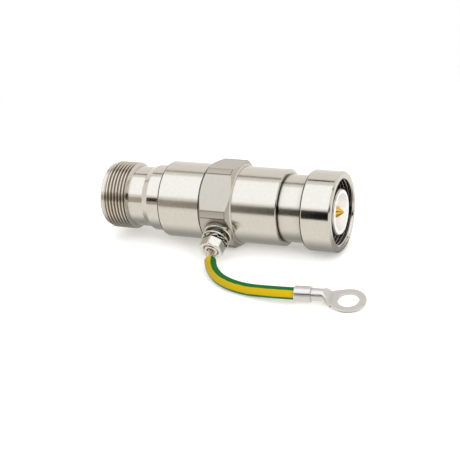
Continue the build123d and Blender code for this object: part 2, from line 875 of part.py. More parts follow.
# Route of the ground wire: out of the stud, down to the floor, round to +X and into the lug
wire_lie = floor_height + wire_radius
wire_points = [
    wire_start,
    wire_bend,
    Vector(wire_bend.X + 2.85, wire_bend.Y - 4.4, wire_lie + 0.1),
    Vector(wire_bend.X + 6.45, wire_bend.Y - 10.2, wire_lie),
    Vector(wire_bend.X + 11.85, wire_bend.Y - 16.6, wire_lie),
    Vector(wire_bend.X + 18.85, wire_bend.Y - 21.2, wire_lie),
    Vector(wire_bend.X + 26.75, wire_bend.Y - 23.8, wire_lie),
    Vector(wire_bend.X + 36.35, wire_bend.Y - 26.1, wire_lie + 1.2),
    lug_start - lug_forward * wire_before_lug,
    lug_start + lug_forward * wire_in_lug,
]
wire_runs = [after - before for before, after in zip(wire_points, wire_points[1:])]
wire_radii = [
    bend_share * min(before.length, after.length) / tan(radians(before.get_angle(after)) / 2)
    for before, after in zip(wire_runs, wire_runs[1:])
]
print("wire bend radii", [round(radius, 1) for radius in wire_radii])
with BuildLine() as wire_route:
    FilletPolyline(*wire_points, radius=wire_radii)
wire_path = wire_route.wires()[0]
wire_length = wire_path.length
section_plane = Plane(origin=wire_start, z_dir=stud_direction)

# Bare copper strands as one round core, from the stud's hollow to the lug's crimp
with BuildPart() as wire_core:
    with BuildSketch(section_plane):
        Circle(core_radius)
    sweep(path=wire_path)
core_volume = wire_core.part.volume / (pi * core_radius**2 * wire_length)
print("wire length", round(wire_length, 1), "core volume over section times length", round(core_volume, 4))
save(wire_core, "wire_core")

# Insulation, cut back at the stud and again inside the lug's grip
strip_plane = Plane(origin=wire_bend, z_dir=wire_runs[0].normalized() + wire_runs[1].normalized())
grip_stop = lug_start + lug_forward * (grip_length - grip_wall - grip_end_play)
with BuildPart() as wire_insulation:
    with BuildSketch(section_plane):
        Circle(wire_radius)
        Circle(core_radius + core_gap, mode=Mode.SUBTRACT)
    sweep(path=wire_path)
    split(bisect_by=strip_plane, keep=Keep.TOP)
    split(bisect_by=Plane(origin=grip_stop, z_dir=lug_forward), keep=Keep.BOTTOM)
insulated_length = wire_insulation.part.volume / (pi * (wire_radius**2 - (core_radius + core_gap) ** 2))
print("insulated length", round(insulated_length, 1))
save(wire_insulation, "wire_insulation")
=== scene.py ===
import json
import math

import bmesh
import bpy
import numpy as np
from mathutils import Matrix, Vector


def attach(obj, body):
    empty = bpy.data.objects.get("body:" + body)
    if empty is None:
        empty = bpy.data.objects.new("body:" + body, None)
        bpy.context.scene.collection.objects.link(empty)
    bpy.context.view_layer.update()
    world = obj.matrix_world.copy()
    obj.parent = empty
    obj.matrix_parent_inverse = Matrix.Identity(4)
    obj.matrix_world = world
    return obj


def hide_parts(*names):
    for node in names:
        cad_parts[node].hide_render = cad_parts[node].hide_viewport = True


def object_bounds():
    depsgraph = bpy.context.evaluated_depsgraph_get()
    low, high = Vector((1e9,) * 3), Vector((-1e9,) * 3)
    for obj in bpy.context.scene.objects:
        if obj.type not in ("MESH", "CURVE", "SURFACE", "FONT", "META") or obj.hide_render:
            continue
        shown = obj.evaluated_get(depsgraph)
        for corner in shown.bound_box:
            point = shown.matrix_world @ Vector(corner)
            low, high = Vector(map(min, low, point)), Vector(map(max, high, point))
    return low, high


# Coax lightning arrestor with its ground wire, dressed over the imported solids.
# The dictionaries give sizes in millimetres and angles in degrees, apart from those of the studio, its lamps
# and its cards, which are in metres, as everything in Blender is.

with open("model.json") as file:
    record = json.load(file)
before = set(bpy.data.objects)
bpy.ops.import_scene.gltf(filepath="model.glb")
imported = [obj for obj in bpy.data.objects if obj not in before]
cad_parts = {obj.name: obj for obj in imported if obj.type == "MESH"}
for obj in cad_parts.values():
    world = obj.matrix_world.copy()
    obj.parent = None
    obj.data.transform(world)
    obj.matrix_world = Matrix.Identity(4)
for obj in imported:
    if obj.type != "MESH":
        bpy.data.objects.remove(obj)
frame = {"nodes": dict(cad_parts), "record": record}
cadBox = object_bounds()
scene = bpy.context.scene
scene.view_settings.view_transform = "Standard"
mm = 0.001
floorHeight = cadBox[0].z
slotOf = {part["node"]: part["material_slot"] for part in frame["record"]["subparts"]}
print("frame loaded, floor at", round(floorHeight / mm, 3), "mm")


# hex sRGB colour to linear: each channel over 255, then the sRGB curve undone
def linear(hexColour, share=1.0):
    channels = np.array([int(hexColour[i:i + 2], 16) for i in (0, 2, 4)]) / 255
    curved = np.where(channels <= 0.04045, channels / 12.92, ((channels + 0.055) / 1.055) ** 2.4)
    return (*(share * curved).tolist(), 1.0)


# one node: its settings by name, and its inputs as values or as sockets to link from
def addNode(tree, kind, inputs=None, **settings):
    node = tree.nodes.new(kind)
    for name, value in settings.items():
        setattr(node, name, value)
    for key, value in (inputs or {}).items():
        if isinstance(value, bpy.types.NodeSocket):
            tree.links.new(value, node.inputs[key])
        else:
            node.inputs[key].default_value = value
    return node


def emptyMaterial(name):
    material = bpy.data.materials.new(name)
    material.use_nodes = True
    material.node_tree.nodes.clear()
    return material


# A grid of points, rows by columns, as a mesh: every four neighbours make a face. The columns close on
# themselves. The rows close too, or the first and last row are each closed by one flat face. The normal at
# a point is the cross product of the lines between its neighbours to both sides and before and after it.
def gridMesh(name, points, closeRows=False):
    rows, columns = points.shape[:2]
    index = np.arange(rows * columns).reshape(rows, columns)
    near = index if closeRows else index[:-1]
    far = np.roll(index, -1, axis=0) if closeRows else index[1:]
    corners = [near, np.roll(near, -1, axis=1), np.roll(far, -1, axis=1), far]
    faces = np.stack(corners, axis=-1).reshape(-1, 4)
    ends = [] if closeRows else [index[0, ::-1].tolist(), index[-1].tolist()]
    mesh = bpy.data.meshes.new(name)
    mesh.from_pydata((points.reshape(-1, 3) * mm).tolist(), [], faces.tolist() + ends)
    mesh.update()
    mesh.shade_smooth()
    across = np.roll(points, -1, axis=1) - np.roll(points, 1, axis=1)
    down = np.roll(points, -1, axis=0) - np.roll(points, 1, axis=0)
    if not closeRows:
        down[0], down[-1] = points[1] - points[0], points[-1] - points[-2]
    normals = np.cross(across, down)
    normals /= np.maximum(np.linalg.norm(normals, axis=-1, keepdims=True), 1e-9)
    loopNormals = normals.reshape(-1, 3)[faces.reshape(-1)]
    if ends:
        flat = [np.tile(mesh.polygons[len(faces) + k].normal, (columns, 1)) for k in range(2)]
        loopNormals = np.concatenate([loopNormals, *flat])
    mesh.normals_split_custom_set(loopNormals.tolist())
    return mesh


# several meshes as one, each with the normals that it has
def joined(name, meshes):
    build = bmesh.new()
    normals = []
    for mesh in meshes:
        flatNormals = np.empty(len(mesh.loops) * 3, np.float32)
        mesh.corner_normals.foreach_get("vector", flatNormals)
        normals.append(flatNormals.reshape(-1, 3))
        build.from_mesh(mesh)
    whole = bpy.data.meshes.new(name)
    build.to_mesh(whole)
    build.free()
    whole.shade_smooth()
    whole.normals_split_custom_set(np.concatenate(normals).tolist())
    return whole


# Each corner of a closed outline gives way to a short curve, the parabola that leaves one side and joins the
# next. It begins the length soften from the corner, or less where a side is short.
def softOutline(corners, soften, steps=4, largestShare=0.35):
    corners = np.array(corners, float)
    before = np.roll(corners, 1, axis=0) - corners
    after = np.roll(corners, -1, axis=0) - corners
    beforeLength = np.linalg.norm(before, axis=1, keepdims=True)
    afterLength = np.linalg.norm(after, axis=1, keepdims=True)
    reach = np.minimum(soften, largestShare * np.minimum(beforeLength, afterLength))
    start = corners + before / beforeLength * reach
    end = corners + after / afterLength * reach
    t = np.linspace(0, 1, steps + 1)[None, :, None]
    points = (1 - t) ** 2 * start[:, None] + 2 * t * (1 - t) * corners[:, None] + t ** 2 * end[:, None]
    return points.reshape(-1, 2)


# extra points at even steps on the sides of a closed outline that lie between two stations and two radii
def refined(outline, stations, radii, step):
    sides = []
    for near, far in zip(outline, np.roll(outline, -1, axis=0)):
        centre = (near + far) / 2
        inside = stations[0] < centre[0] < stations[1] and radii[0] < centre[1] < radii[1]
        count = max(1, int(np.hypot(*(far - near)) / step)) if inside else 1
        sides.append(near + (far - near) * np.linspace(0, 1, count, endpoint=False)[:, None])
    return np.concatenate(sides)


# The frames that turned pieces stand in: the rows of axes are the way along, angle 0 and a quarter turn on.
# The stud points down and towards the viewer, out of the middle of the hexagon.
studLean = math.radians(64)
studStation = 49.75
studWay = (0.0, -math.sin(studLean), -math.cos(studLean))
lineFrame = {"axes": np.eye(3), "origin": (0.0, 0.0, 0.0)}
studFrame = {
    "axes": np.array([studWay, (1, 0, 0), np.cross(studWay, (1, 0, 0))]),
    "origin": (studStation, 0.0, 0.0),
}


# A turned piece: each point of a closed outline, (place along, radius), goes once round the axis, so it lies
# at the place along plus the radius times the cosine and sine of the turn. shape changes both before that.
def turned(name, outline, segments, shape=None, stand=lineFrame):
    turn = np.linspace(0, 2 * np.pi, segments, endpoint=False)[None, :]
    along, radius = (np.repeat(outline[:, k:k + 1], segments, axis=1) for k in (0, 1))
    if shape:
        along, radius = shape(along, radius, turn)
    points = np.stack([along, radius * np.cos(turn), radius * np.sin(turn)], axis=-1)
    return gridMesh(name, points @ stand["axes"] + np.array(stand["origin"]), closeRows=True)


# The frame of a path at each of its points: its own direction, a level side and the normal over it.
def pathFrame(path):
    forward = np.gradient(path, axis=-2)
    forward /= np.linalg.norm(forward, axis=-1, keepdims=True)
    side = np.cross(forward, np.array([0.0, 0.0, 1.0]))
    side /= np.linalg.norm(side, axis=-1, keepdims=True)
    return forward, side, np.cross(side, forward)


# A round tube: a circle of the given radius stands square on the path at each point. Angle 0 is on top.
def tubeGrid(path, radius, sides):
    _, side, over = pathFrame(path)
    angle = np.linspace(0, 2 * np.pi, sides, endpoint=False)[:, None]
    ring = np.cos(angle) * over[..., None, :] + np.sin(angle) * side[..., None, :]
    return path[..., None, :] + np.asarray(radius)[..., None, None] * ring


cameraView = {
    "place": (268.24, -480.73, 189.66),
    "right": (0.91727, 0.39266, -0.06651),
    "up": (-0.08368, 0.35331, 0.93175),
    "back": (0.38936, -0.84910, 0.35694),
    "lens": 103.6,
    "sensorWidth": 36,
    "clip": (10, 50000),
}
cameraData = bpy.data.cameras.new("camera")
cameraData.lens = cameraView["lens"]
cameraData.sensor_width = cameraView["sensorWidth"]
cameraData.clip_start, cameraData.clip_end = (length * mm for length in cameraView["clip"])
camera = bpy.data.objects.new("camera", cameraData)
turnedAxes = Matrix([cameraView["right"], cameraView["up"], cameraView["back"]]).transposed()
camera.matrix_world = Matrix.Translation(Vector(cameraView["place"]) * mm) @ turnedAxes.to_4x4()
scene.collection.objects.link(camera)
scene.camera = camera
print("camera set")


studio = {
    "fill": ("FFFAF2", 0.68),        # light from all round, on matt surfaces
    "backdrop": "FFFFFF",            # what the camera, metal and clear things see in its place
    "floorColour": "F6F6F4",
    "floorLift": ("FFFBF4", 0.36),   # what the floor shows the camera beyond its paint, to meet the backdrop
    "floorInMetal": ("FBFCFC", 1.12),    # what metal sees of the floor: even, without shadows
    "paintedShadowShare": 0.38,              # the share of that in the painted shadow right below the line ...
    "paintedShadowReach": (0.008, 0.022),    # ... which grows to all of it between these distances to either side
    "floorReach": (0.12, 0.30),      # distances from the middle between which it turns into the backdrop
    "floorHalf": 4.0,
}
middle = Vector((0.048, 0, 0))

world = bpy.data.worlds.new("studio")
scene.world = world
world.use_nodes = True
tree = world.node_tree
tree.nodes.clear()


# 1 for the rays that see the backdrop as it is: from the camera, off metal and through clear things
def shownRays(tree):
    rays = addNode(tree, "ShaderNodeLightPath")
    seen = addNode(tree, "ShaderNodeMath",
                   {0: rays.outputs["Is Camera Ray"], 1: rays.outputs["Is Glossy Ray"]},
                   operation="MAXIMUM")
    return addNode(tree, "ShaderNodeMath", {0: seen.outputs[0], 1: rays.outputs["Is Transmission Ray"]},
                   operation="MAXIMUM").outputs[0]


fillColour, fillStrength = studio["fill"]
fill = addNode(tree, "ShaderNodeBackground", {"Color": linear(fillColour), "Strength": fillStrength})
backdrop = addNode(tree, "ShaderNodeBackground", {"Color": linear(studio["backdrop"]), "Strength": 1.0})
skyMix = addNode(tree, "ShaderNodeMixShader",
                 {0: shownRays(tree), 1: fill.outputs[0], 2: backdrop.outputs[0]})
addNode(tree, "ShaderNodeOutputWorld", {"Surface": skyMix.outputs[0]})

# Two lamps that the camera doesn't see. Metal sees the softbox over the part, and not the side lamp, which
# is for the matt surfaces in the nut's mouth. A lamp's energy is four times its area times the brightness
# of its face.
lamps = {
    "softbox": {"colour": "D6E7FF", "brightness": 0.52, "size": (2.4, 1.35),
                "place": (0.05, -0.46, 0.80), "inMetal": True},
    "sideLamp": {"colour": "FFFFFF", "brightness": 4.6875, "size": (0.4, 0.4),
                 "place": (0.75, -0.55, 0.30), "inMetal": False},
}
for name, lamp in lamps.items():
    lampData = bpy.data.lights.new(name, "AREA")
    lampData.shape = "RECTANGLE"
    lampData.size, lampData.size_y = lamp["size"]
    lampData.color = linear(lamp["colour"])[:3]
    lampData.energy = 4 * lampData.size * lampData.size_y * lamp["brightness"]
    lampObject = bpy.data.objects.new(name, lampData)
    lampObject.location = lamp["place"]
    lampObject.rotation_euler = (Vector(lamp["place"]) - middle).to_track_quat("Z", "Y").to_euler()
    lampObject.visible_camera = False
    lampObject.visible_glossy = lamp["inMetal"]
    scene.collection.objects.link(lampObject)

# Matt white floor: close to the part it takes its shadow, and further out it is the white backdrop. Metal
# sees it as an even glow without the shadow, with a painted shadow right below the line.
floorPaint = emptyMaterial("matt white studio floor")
tree = floorPaint.node_tree
place = addNode(tree, "ShaderNodeTexCoord").outputs["Object"]
distance = addNode(tree, "ShaderNodeVectorMath", {0: place}, operation="LENGTH")
near, far = studio["floorReach"]
farOut = addNode(tree, "ShaderNodeMapRange",
                 {"Value": distance.outputs["Value"], "From Min": near, "From Max": far},
                 interpolation_type="SMOOTHSTEP")
farShown = addNode(tree, "ShaderNodeMath", {0: farOut.outputs[0], 1: shownRays(tree)}, operation="MULTIPLY")
rays = addNode(tree, "ShaderNodeLightPath")
# painted shadow in what metal sees of the floor: darker right below the line, fading out to either side
aside = addNode(tree, "ShaderNodeSeparateXYZ", {0: place}).outputs["Y"]
aside = addNode(tree, "ShaderNodeMath", {0: aside}, operation="ABSOLUTE").outputs[0]
near, far = studio["paintedShadowReach"]
outsidePaintedShadow = addNode(tree, "ShaderNodeMapRange", {"Value": aside, "From Min": near, "From Max": far},
                    interpolation_type="SMOOTHSTEP")
metalColour, metalStrength = studio["floorInMetal"]
inMetalTone = addNode(tree, "ShaderNodeMixRGB",
                      {0: outsidePaintedShadow.outputs[0], 1: linear(metalColour, metalStrength * studio["paintedShadowShare"]),
                       2: linear(metalColour, metalStrength)})
inMetal = addNode(tree, "ShaderNodeEmission", {"Color": inMetalTone.outputs[0], "Strength": 1.0})
paint = addNode(tree, "ShaderNodeBsdfDiffuse", {"Color": linear(studio["floorColour"])})
white = addNode(tree, "ShaderNodeEmission", {"Color": linear(studio["backdrop"]), "Strength": 1.0})
liftColour, liftStrength = studio["floorLift"]
lift = addNode(tree, "ShaderNodeMath", {0: rays.outputs["Is Camera Ray"], 1: liftStrength},
               operation="MULTIPLY")
lifted = addNode(tree, "ShaderNodeEmission", {"Color": linear(liftColour), "Strength": lift.outputs[0]})
ownLook = addNode(tree, "ShaderNodeAddShader", {0: paint.outputs[0], 1: lifted.outputs[0]})
seenFloor = addNode(tree, "ShaderNodeMixShader",
                    {0: rays.outputs["Is Glossy Ray"], 1: ownLook.outputs[0], 2: inMetal.outputs[0]})
floorMix = addNode(tree, "ShaderNodeMixShader",
                   {0: farShown.outputs[0], 1: seenFloor.outputs[0], 2: white.outputs[0]})
addNode(tree, "ShaderNodeOutputMaterial", {"Surface": floorMix.outputs[0]})


# a flat rectangle for the studio between four corners
def stagePlane(name, corners, material):
    mesh = bpy.data.meshes.new(name)
    mesh.from_pydata(corners, [], [[0, 1, 2, 3]])
    mesh.materials.append(material)
    plane = bpy.data.objects.new(name, mesh)
    scene.collection.objects.link(plane)
    return plane


far = studio["floorHalf"]
floor = stagePlane("floor", [(-far, -far, 0), (far, -far, 0), (far, far, 0), (-far, far, 0)], floorPaint)
floor.location = (middle.x, middle.y, floorHeight)

# Cards that only metal sees, as a studio uses to give shiny metal its edges. Each has its brightness, its
# colour at two places along X, between which it changes evenly, and its corners.
cards = {
    "frontCard": (1.0, ("C6C1B7", -0.120), ("050505", 0.004),
                  [(-0.50, -0.26, -0.017), (0.45, -0.26, -0.017), (0.45, -0.26, 0.165),
                   (-0.50, -0.26, 0.000)]),
    "frontFoot": (1.0, ("B4AFA5", -0.120), ("5E594F", 0.000),
                  [(-0.50, -0.26, -0.0168), (0.45, -0.26, -0.0168), (0.45, -0.17, -0.0168),
                   (-0.50, -0.19, -0.0168)]),
    "collarCard": (1.0, ("080706", -1.0), ("080706", 1.0),
                   [(-0.0015, -0.045, 0.005), (0.0068, -0.045, 0.005), (0.0068, -0.045, 0.0145),
                    (-0.0015, -0.045, 0.0145)]),
    "upperCard": (1.0, ("8C867E", -0.23), ("24221F", -0.155),
                  [(-1.2, 0.19, 0.56), (1.2, 0.19, 0.56), (1.2, 0.25, 0.545), (-1.2, 0.25, 0.545)]),
    "pinCard": (1.0, ("050505", -1.0), ("050505", 1.0),
                [(0.42, -0.34, 0.04), (0.48, -0.11, 0.04), (0.48, -0.11, 0.15), (0.42, -0.34, 0.15)]),
    "nutCard": (1.75, ("F4F8FF", -1.0), ("F4F8FF", 1.0),
                [(0.30, 0.10, 0.85), (0.60, 0.10, 0.80), (0.60, 0.42, 0.78), (0.30, 0.42, 0.83)]),
}
for name, (brightness, left, right, corners) in cards.items():
    cardPaint = emptyMaterial(name + " matt card")
    tree = cardPaint.node_tree
    place = addNode(tree, "ShaderNodeTexCoord").outputs["Object"]
    alongCard = addNode(tree, "ShaderNodeSeparateXYZ", {0: place}).outputs["X"]
    share = addNode(tree, "ShaderNodeMapRange",
                    {"Value": alongCard, "From Min": left[1], "From Max": right[1]})
    colour = addNode(tree, "ShaderNodeMixRGB",
                     {0: share.outputs[0], 1: linear(left[0]), 2: linear(right[0])})
    glow = addNode(tree, "ShaderNodeEmission", {"Color": colour.outputs[0], "Strength": brightness})
    addNode(tree, "ShaderNodeOutputMaterial", {"Surface": glow.outputs[0]})
    card = stagePlane(name, corners, cardPaint)
    card.visible_camera = False
    card.visible_diffuse = False
    card.visible_shadow = False
    card.visible_transmission = False
print("studio set")


# 1 where a length lies between two limits in millimetres, and 0 elsewhere
def between(tree, length, limits):
    near, far = limits
    return addNode(tree, "ShaderNodeMath",
                   {0: length, 1: (near + far) / 2 * mm, 2: (far - near) / 2 * mm},
                   operation="COMPARE").outputs[0]


# Satin nickel plate over turned brass: bands of light along each cylinder, softened a little by the fine
# rings that the lathe left. The rings are 0.05 to 0.1 mm apart on the real piece, too fine to show, and are
# drawn 0.35 mm apart. Painted shade darkens the plate in joints, thread roots and corners, and painted shadow
# lines run along some edges at joints. Flats were milled and are duller and darker than the turned faces,
# darkest along their border, where that is a painted shadow line. The other metals differ in colour and
# sheen, with their rings a little closer, and show the same marks of turning or drawing, and the same painted
# shade.
satin = {
    "colour": "D3CCBF",
    "clouds": (1.03, 0.89),          # shares of the colour that the plate wanders between, in clouds
    "cloudSize": 1.4286,
    "roughness": 0.17,
    "roughnessSpread": (-0.05, 0.07),
    "ringSpacing": 0.35,
    "acrossScale": 12,               # how fast the rings change across the axis, per metre
    "ringDepth": 0.03,
    "edge": 0.14,                    # radius to which sharp edges look worn
    # painted shade in joints, thread roots and corners: its colour, its reach, and the openness over which it
    # fades
    "cornerShadeColour": "2A211A",
    "cornerShadeReach": 2.0,               # how far round a point the walls count that close it in
    "cornerShade": (0.12, 0.62),           # how open a point is where the painted shade is deepest, and where there is none
    "leastLit": 0.1,
    "shadowLines": (),                 # stations between which an edge is painted dark, a painted shadow line at a joint
    "shadowLineColour": "4A4239",
    "flats": None,                   # their stations, distances from the axis, and those of the border with its painted shadow line
    "flatColour": "70604C",
    "flatShare": 0.26,               # of that colour over the flats ...
    "borderShadeShare": 0.6,              # ... and more of it along their border, as a painted shadow line
    "flatRoughness": 0.22,           # more than beside them
}


def satinMetal(name, **own):
    finish = {**satin, **own}
    material = emptyMaterial(name)
    tree = material.node_tree
    place = addNode(tree, "ShaderNodeTexCoord").outputs["Object"]
    across = finish["acrossScale"]
    stretched = addNode(tree, "ShaderNodeMapping",
                        {"Vector": place, "Scale": (1 / (finish["ringSpacing"] * mm), across, across)})
    rings = addNode(tree, "ShaderNodeTexNoise", {"Vector": stretched.outputs[0], "Scale": 1.0, "Detail": 3.0})
    clouds = addNode(tree, "ShaderNodeTexNoise",
                     {"Vector": place, "Scale": 1 / (finish["cloudSize"] * mm), "Detail": 5.0,
                      "Roughness": 0.6})
    smoothest, roughest = (finish["roughness"] + spread for spread in finish["roughnessSpread"])
    gloss = addNode(tree, "ShaderNodeMapRange",
                    {"Value": rings.outputs["Fac"], "To Min": smoothest, "To Max": roughest}).outputs[0]
    lightest, darkest = (linear(finish["colour"], share) for share in finish["clouds"])
    unshaded = addNode(tree, "ShaderNodeMixRGB", {0: clouds.outputs["Fac"], 1: lightest, 2: darkest})
    # Painted shade: where nearby walls close a point in, the colour is darkened towards the shade colour.
    openness = addNode(tree, "ShaderNodeAmbientOcclusion", {"Distance": finish["cornerShadeReach"] * mm}, samples=6)
    closed, opened = finish["cornerShade"]
    litShare = addNode(tree, "ShaderNodeMapRange",
                         {"Value": openness.outputs["AO"], "From Min": closed, "From Max": opened,
                          "To Min": finish["leastLit"]})
    tone = addNode(tree, "ShaderNodeMixRGB",
                   {0: litShare.outputs[0], 1: linear(finish["cornerShadeColour"]), 2: unshaded.outputs[0]})
    # painted shadow lines: the plate is painted dark between the stations of each edge at a joint
    for limits in finish["shadowLines"]:
        station = addNode(tree, "ShaderNodeSeparateXYZ", {0: place}).outputs["X"]
        tone = addNode(tree, "ShaderNodeMixRGB",
                       {0: between(tree, station, limits), 1: tone.outputs[0],
                        2: linear(finish["shadowLineColour"])})
    # Milled flats: rougher, and darker in colour, more so along their border, where the darkening is a
    # painted shadow line.
    if finish["flats"]:
        stations, distances, border = finish["flats"]
        split = addNode(tree, "ShaderNodeSeparateXYZ", {0: place})
        away = addNode(tree, "ShaderNodeCombineXYZ", {"Y": split.outputs["Y"], "Z": split.outputs["Z"]})
        fromAxis = addNode(tree, "ShaderNodeVectorMath", {0: away.outputs[0]}, operation="LENGTH")
        fromAxis = fromAxis.outputs["Value"]
        onFlat = addNode(tree, "ShaderNodeMath",
                         {0: between(tree, split.outputs["X"], stations),
                          1: between(tree, fromAxis, distances)},
                         operation="MULTIPLY").outputs[0]
        gloss = addNode(tree, "ShaderNodeMath", {0: onFlat, 1: finish["flatRoughness"], 2: gloss},
                        operation="MULTIPLY_ADD").outputs[0]
        share = addNode(tree, "ShaderNodeMath",
                        {0: between(tree, fromAxis, border), 1: finish["borderShadeShare"],
                         2: finish["flatShare"]},
                        operation="MULTIPLY_ADD").outputs[0]
        flatDarkening = addNode(tree, "ShaderNodeMath", {0: onFlat, 1: share}, operation="MULTIPLY")
        tone = addNode(tree, "ShaderNodeMixRGB",
                       {0: flatDarkening.outputs[0], 1: tone.outputs[0], 2: linear(finish["flatColour"])})
    softEdge = addNode(tree, "ShaderNodeBevel", {"Radius": finish["edge"] * mm}, samples=6)
    bump = addNode(tree, "ShaderNodeBump",
                   {"Height": rings.outputs["Fac"], "Strength": 0.12, "Distance": finish["ringDepth"] * mm,
                    "Normal": softEdge.outputs[0]})
    surface = addNode(tree, "ShaderNodeBsdfPrincipled",
                      {"Base Color": tone.outputs[0], "Metallic": 1.0, "Roughness": gloss,
                       "Normal": bump.outputs[0]})
    addNode(tree, "ShaderNodeOutputMaterial", {"Surface": surface.outputs[0]})
    return material


# The metals, each under its slot, or under the node that alone has it: what it is and what it has of its own
# Their own settings include the colour, reach and openness of the painted shade in corners.
metals = {
    "nickel": ("satin nickel plate on turned brass", {}),
    "female_shell": ("satin nickel plate on the turned and threaded shell", {
        "roughness": 0.13, "cornerShadeReach": 1.3, "cornerShade": (0.36, 0.95), "cornerShadeColour": "7C6648"}),
    "sleeve": ("satin nickel plate on the turned sleeve", {"shadowLines": [(22.2, 22.65), (40.85, 41.3)]}),
    "coupling_nut": ("satin nickel plate on the turned coupling nut", {
        "roughness": 0.12, "cornerShadeReach": 5.0, "cornerShade": (0.3, 0.85), "shadowLines": [(86.12, 86.6)]}),
    "male_shell": ("satin nickel plate on the turned shell of the male port", {
        "cornerShadeReach": 5.0, "cornerShade": (0.3, 0.85)}),
    "main_body": ("satin nickel plate on a turned and milled brass body", {
        "cornerShade": (0.25, 0.8), "shadowLines": [(41.2, 41.9)],
        "flats": [(41.4, 56.0), (16.95, 19.23), (18.67, 18.93)]}),
    "gas_tube_cap": ("satin nickel plate on the turned gas tube cap", {
        "cornerShadeReach": 2.5, "cornerShade": (0.25, 0.85)}),
    "zinc": ("bright nickel plate on steel fasteners", {
        "colour": "DAD4C8", "roughness": 0.2, "ringSpacing": 0.2, "edge": 0.1, "cornerShadeReach": 1.6,
        "cornerShade": (0.2, 0.8)}),
    "tin": ("dull tin plate on copper", {
        "colour": "D8D3CB", "roughness": 0.34, "ringSpacing": 0.3, "edge": 0.1, "cornerShadeReach": 1.2,
        "cornerShade": (0.2, 0.75)}),
    "gold": ("gold plate on turned brass", {
        "colour": "F0BE55", "roughness": 0.13, "ringSpacing": 0.2, "edge": 0.04, "cornerShadeReach": 1.0,
        "cornerShade": (0.1, 0.6)}),
    "silver": ("silver plate on turned brass", {
        "colour": "DEDACF", "roughness": 0.25, "ringSpacing": 0.3, "edge": 0.1}),
    "copper": ("bare twisted copper strands, tinned thinly", {
        "colour": "DCCAAF", "roughness": 0.3, "ringSpacing": 0.3, "edge": 0.05, "cornerShadeReach": 0.5,
        "cornerShade": (0.3, 0.8)}),
}
finishes = {key: satinMetal(name, **own) for key, (name, own) in metals.items()}


# Matt solids of one colour, a little uneven in clouds: turned fluoropolymer, which is waxy to the eye, fired
# alumina and moulded rubber.
def mattSolid(name, colour, roughness, cloudSize=2.5, darkest=0.94):
    material = emptyMaterial(name)
    tree = material.node_tree
    place = addNode(tree, "ShaderNodeTexCoord").outputs["Object"]
    clouds = addNode(tree, "ShaderNodeTexNoise",
                     {"Vector": place, "Scale": 1 / (cloudSize * mm), "Detail": 2.0})
    tone = addNode(tree, "ShaderNodeMixRGB",
                   {0: clouds.outputs["Fac"], 1: linear(colour), 2: linear(colour, darkest)})
    surface = addNode(tree, "ShaderNodeBsdfPrincipled",
                      {"Base Color": tone.outputs[0], "Roughness": roughness, "IOR": 1.38})
    addNode(tree, "ShaderNodeOutputMaterial", {"Surface": surface.outputs[0]})
    return material


finishes["ptfe"] = mattSolid("white fluoropolymer", "F8F7F4", 0.5)
finishes["ceramic"] = mattSolid("white alumina ceramic", "E8E5DC", 0.3)
finishes["rubber"] = mattSolid("black sealing rubber", "1C1C1B", 0.6)

# Extruded vinyl in two colours: smooth, with a dull shine and a fine grain. The two colours meet in a crisp,
# slightly wavy line. The attribute stripe is the angle from the middle of the yellow, as a share of 180.
vinyl = {
    "yellow": "CFAD00",
    "green": "0A6826",
    "yellowHalfWidth": 34.5,
    "waveSize": 4.0,
    "wave": 0.06,                # how far the border wanders, as a share of 180 degrees ...
    "borderHalfWidth": 0.012,    # ... and how soft it is, likewise
    "grainSize": 0.66667,
    "grainDepth": 0.04,
    "roughness": 0.45,
    "specularLevel": 0.13,
}


def stripedVinyl(name):
    material = emptyMaterial(name)
    tree = material.node_tree
    place = addNode(tree, "ShaderNodeTexCoord").outputs["Object"]
    around = addNode(tree, "ShaderNodeAttribute", attribute_name="stripe")
    waves = addNode(tree, "ShaderNodeTexNoise",
                    {"Vector": place, "Scale": 1 / (vinyl["waveSize"] * mm), "Detail": 2.0})
    shifted = addNode(tree, "ShaderNodeMath",
                      {0: waves.outputs["Fac"], 1: vinyl["wave"], 2: around.outputs["Fac"]},
                      operation="MULTIPLY_ADD")
    borderAt = vinyl["yellowHalfWidth"] / 180 + vinyl["wave"] / 2
    border = addNode(tree, "ShaderNodeMapRange",
                     {"Value": shifted.outputs[0], "From Min": borderAt - vinyl["borderHalfWidth"],
                      "From Max": borderAt + vinyl["borderHalfWidth"]})
    colours = addNode(tree, "ShaderNodeMixRGB",
                      {0: border.outputs[0], 1: linear(vinyl["yellow"]), 2: linear(vinyl["green"])})
    grain = addNode(tree, "ShaderNodeTexNoise",
                    {"Vector": place, "Scale": 1 / (vinyl["grainSize"] * mm), "Detail": 2.0})
    bump = addNode(tree, "ShaderNodeBump",
                   {"Height": grain.outputs["Fac"], "Strength": 0.15, "Distance": vinyl["grainDepth"] * mm})
    surface = addNode(tree, "ShaderNodeBsdfPrincipled",
                      {"Base Color": colours.outputs[0], "Roughness": vinyl["roughness"], "IOR": 1.53,
                       "Specular IOR Level": vinyl["specularLevel"], "Normal": bump.outputs[0]})
    addNode(tree, "ShaderNodeOutputMaterial", {"Surface": surface.outputs[0]})
    return material


finishes["insulation"] = stripedVinyl("extruded vinyl, yellow and green")


# gives a mesh the finish of a node: the node's own where it has one, or else that of its slot
def dress(mesh, node):
    mesh.materials.clear()
    mesh.materials.append(finishes[node if node in finishes else slotOf[node]])


for node, solid in frame["nodes"].items():
    dress(solid.data, node)
print("materials made")


# a mesh as a piece of the part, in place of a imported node
def addPiece(mesh, node, body="arrestor"):
    piece = bpy.data.objects.new(mesh.name, mesh)
    scene.collection.objects.link(piece)
    dress(mesh, node)
    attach(piece, body)
    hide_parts(node)
    return piece


